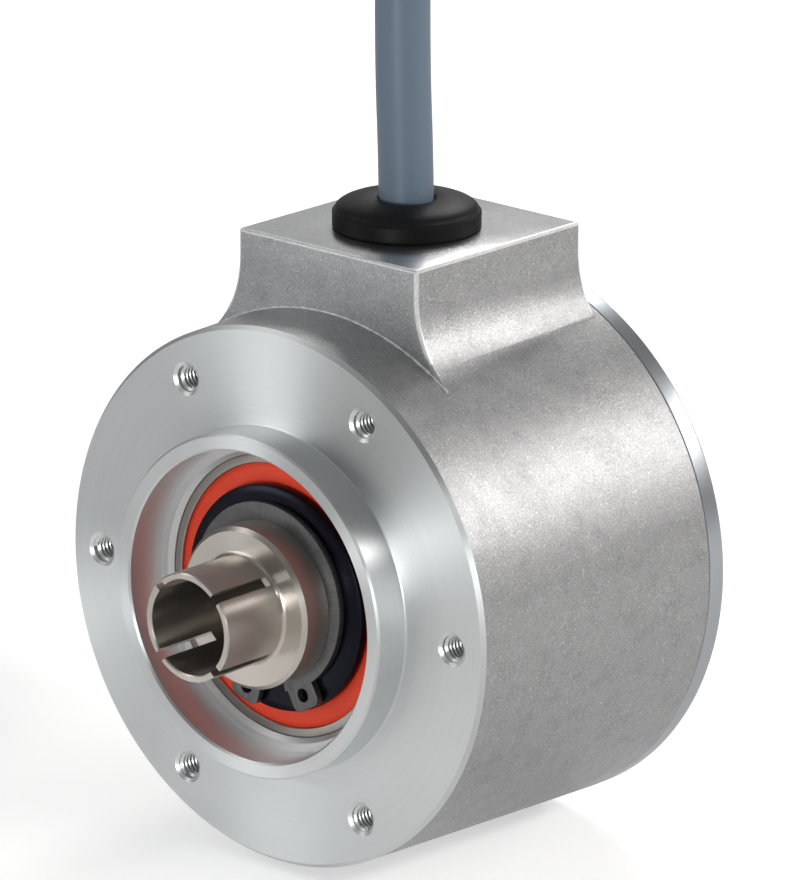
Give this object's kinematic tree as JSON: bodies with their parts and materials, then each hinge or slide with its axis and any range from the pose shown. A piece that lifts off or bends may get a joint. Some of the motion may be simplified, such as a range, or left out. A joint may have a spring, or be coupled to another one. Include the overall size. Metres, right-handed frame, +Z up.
{
  "type": "incremental rotary encoder",
  "caption": "Incremental rotary encoder: round cast housing with a flange, centring spigot, slotted hollow shaft on ball bearings, and a cable leaving a boss on top.",
  "frame": {"origin": "middle of the six threaded holes, on the front flange face and on the shaft's axis", "axes": "-Y points out of the front along the shaft, +Y to the back cover, +Z up towards the cable boss, +X to the right seen from the front"},
  "size_m": [0.2034, 0.0999, 0.1835],
  "materials": {
    "cast_aluminium": "sand-grey cast skin with machined front face and boss top",
    "turned_aluminium": "turned, bright",
    "shaft_steel": "turned stainless steel, satin",
    "bearing_steel": "ground",
    "spring_steel": "phosphated grey",
    "black_steel": "blackened, glossy",
    "screw_steel": "zinc plated",
    "orange_rubber": "matte",
    "black_rubber": "satin",
    "cable_sheath": "blue-grey sheath, satin",
    "cage_plastic": "natural polyamide",
    "board_green": "solder mask",
    "chip_black": "moulded",
    "header_white": "moulded",
    "core_sheath": "wire insulation",
    "brass": "turned",
    "disc_glass": "clear with fine chrome lines",
    "lamp_resin": "clear resin"
  },
  "bodies": {
    "housing": {"housing": "cast_aluminium", "back_cover": "turned_aluminium", "cover_seal": "black_rubber", "cover_screws": "screw_steel", "front_bearing_outer_ring": "bearing_steel", "rear_bearing_outer_ring": "bearing_steel", "front_bearing_seal": "orange_rubber", "rear_bearing_seal": "orange_rubber", "preload_spring": "spring_steel", "circuit_board": "board_green", "board_standoffs": "brass", "board_screws": "screw_steel", "board_chips": "chip_black", "sensor_head": "chip_black", "sensor_mask": "disc_glass", "lamp_bracket": "turned_aluminium", "lamp": "lamp_resin", "wire_header": "header_white", "core_wires": "core_sheath", "cable_grommet": "black_rubber", "crimp_sleeve": "brass", "cable": "cable_sheath", "cable_coil": "cable_sheath"},
    "shaft": {"hollow_shaft": "shaft_steel", "circlip": "spring_steel", "slinger_ring": "black_steel", "front_bearing_inner_ring": "bearing_steel", "rear_bearing_inner_ring": "bearing_steel", "spacer_sleeve": "bearing_steel", "disc_hub": "turned_aluminium", "code_disc": "disc_glass", "hub_screws": "screw_steel"},
    "front_cage": {"front_bearing_cage": "cage_plastic", "front_bearing_balls": "bearing_steel"},
    "rear_cage": {"rear_bearing_cage": "cage_plastic", "rear_bearing_balls": "bearing_steel"}
  },
  "joints": [
    {"name": "shaft_spin", "type": "hinge", "parent": "housing", "child": "shaft", "pos_m": [0, 0.006, 0], "axis": [0, 1, 0], "continuous": true},
    {"name": "front_cage_spin", "type": "hinge", "parent": "housing", "child": "front_cage", "pos_m": [0, 0.0061, 0], "axis": [0, 1, 0], "continuous": true},
    {"name": "rear_cage_spin", "type": "hinge", "parent": "housing", "child": "rear_cage", "pos_m": [0, 0.0191, 0], "axis": [0, 1, 0], "continuous": true}
  ],
  "couplings": [
    {"joint": "front_cage_spin", "follows": "shaft_spin", "ratio": 0.429},
    {"joint": "rear_cage_spin", "follows": "shaft_spin", "ratio": 0.429}
  ]
}
